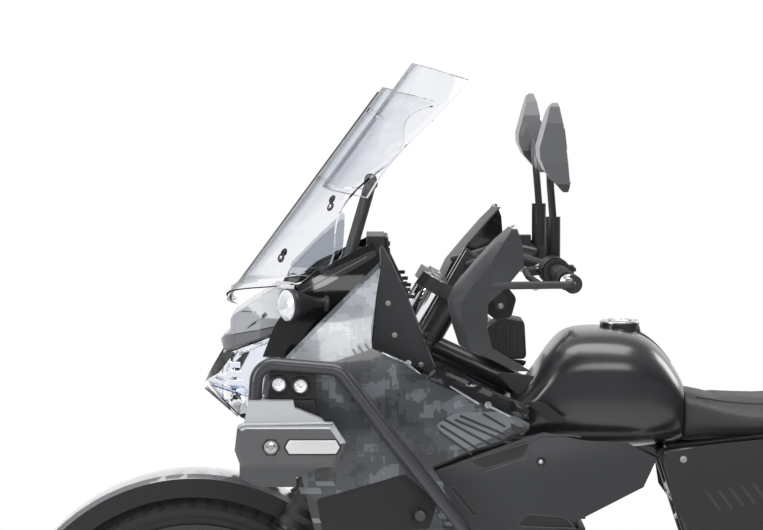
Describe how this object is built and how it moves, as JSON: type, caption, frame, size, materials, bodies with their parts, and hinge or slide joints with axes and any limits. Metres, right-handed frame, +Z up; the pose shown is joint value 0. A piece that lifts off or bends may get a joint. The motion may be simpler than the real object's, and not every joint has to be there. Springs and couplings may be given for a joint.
{
  "type": "adventure motorcycle",
  "caption": "Adventure touring motorcycle with a half fairing, tall windscreen, crash bars with slider pads, handguards, spoked wheels and a rear rack, on its centre stand.",
  "frame": {"origin": "on the ground, below the middle of the length, in the machine's middle plane", "axes": "+X forward, +Y to the rider's left, +Z up"},
  "size_m": [2.28, 0.97, 1.51],
  "materials": {
    "frame_black": "satin",
    "engine_black": "satin",
    "engine_fins": "matte",
    "radiator_black": "matte",
    "steel_pipe": "brushed",
    "muffler_black": "satin",
    "skid_aluminium": "satin",
    "tank_black": "satin",
    "seat_vinyl": "grained",
    "camo_plastic": "gloss, blocky grey pattern",
    "dark_plastic": "satin",
    "grey_plastic": "gloss",
    "fender_grey": "gloss",
    "lamp_clear": "clear over reflectors",
    "screen_clear": "clear",
    "bar_graphite": "satin",
    "pad_grey": "satin",
    "lamp_housing": "satin",
    "amber_lens": "gloss",
    "red_lens": "gloss",
    "alloy": "satin",
    "steel": "brushed",
    "spring_steel": "satin",
    "chain_steel": "oiled",
    "tube_chrome": "polished",
    "rubber_black": "matte",
    "bar_black": "satin",
    "tyre_black": "matte",
    "rim_black": "satin",
    "disc_steel": "brushed"
  },
  "bodies": {
    "chassis": {"main_frame": "frame_black", "engine_case": "engine_black", "engine_cylinder": "engine_fins", "radiator": "radiator_black", "exhaust_pipe": "steel_pipe", "muffler": "muffler_black", "skid_plate": "skid_aluminium", "fuel_tank": "tank_black", "seat": "seat_vinyl", "shrouds": "camo_plastic", "knee_panels": "dark_plastic", "side_covers": "camo_plastic", "inner_panels": "dark_plastic", "cowl_sides": "grey_plastic", "nose_cowl": "grey_plastic", "headlamp": "lamp_clear", "windscreen": "screen_clear", "instrument_panel": "dark_plastic", "crash_bars": "bar_graphite", "slider_pads": "pad_grey", "aux_lamps": "lamp_housing", "indicators": "amber_lens", "tail_fender": "dark_plastic", "tail_lamp": "red_lens", "rear_rack": "bar_graphite", "swingarm": "alloy", "rear_shock": "spring_steel", "rear_axle": "steel", "chain": "chain_steel", "footpegs": "alloy", "foot_controls": "steel"},
    "steering": {"fork_crowns": "alloy", "fork_tubes": "tube_chrome", "fork_gaiters": "rubber_black", "fork_sliders": "alloy", "front_axle": "steel", "front_fender": "fender_grey", "handlebar": "bar_black", "grips": "rubber_black", "control_units": "dark_plastic", "mirrors": "dark_plastic", "handguards": "dark_plastic"},
    "front_wheel": {"front_tyre": "tyre_black", "front_wheel": "rim_black", "front_disc": "disc_steel"},
    "rear_wheel": {"rear_tyre": "tyre_black", "rear_wheel": "rim_black", "rear_disc": "disc_steel", "rear_sprocket": "steel"},
    "centre_stand": {"centre_stand": "frame_black"},
    "side_stand": {"side_stand": "frame_black"}
  },
  "joints": [
    {"name": "steering_turn", "type": "hinge", "parent": "chassis", "child": "steering", "pos_m": [0.4153, 0, 0.86603], "axis": [-0.5, 0, 0.866], "range_deg": [-38, 38]},
    {"name": "front_wheel_spin", "type": "hinge", "parent": "steering", "child": "front_wheel", "pos_m": [0.7923, 0, 0.3477], "axis": [0, 1, 0], "continuous": true},
    {"name": "rear_wheel_spin", "type": "hinge", "parent": "chassis", "child": "rear_wheel", "pos_m": [-0.7477, 0, 0.3319], "axis": [0, 1, 0], "continuous": true},
    {"name": "centre_stand_fold", "type": "hinge", "parent": "chassis", "child": "centre_stand", "pos_m": [-0.3, 0, 0.266], "axis": [0, 1, 0], "range_deg": [0, 78]},
    {"name": "side_stand_swing", "type": "hinge", "parent": "chassis", "child": "side_stand", "pos_m": [0.022, 0.112, 0.268], "axis": [0, -0.8862, -0.4633], "range_deg": [0, 104]}
  ]
}
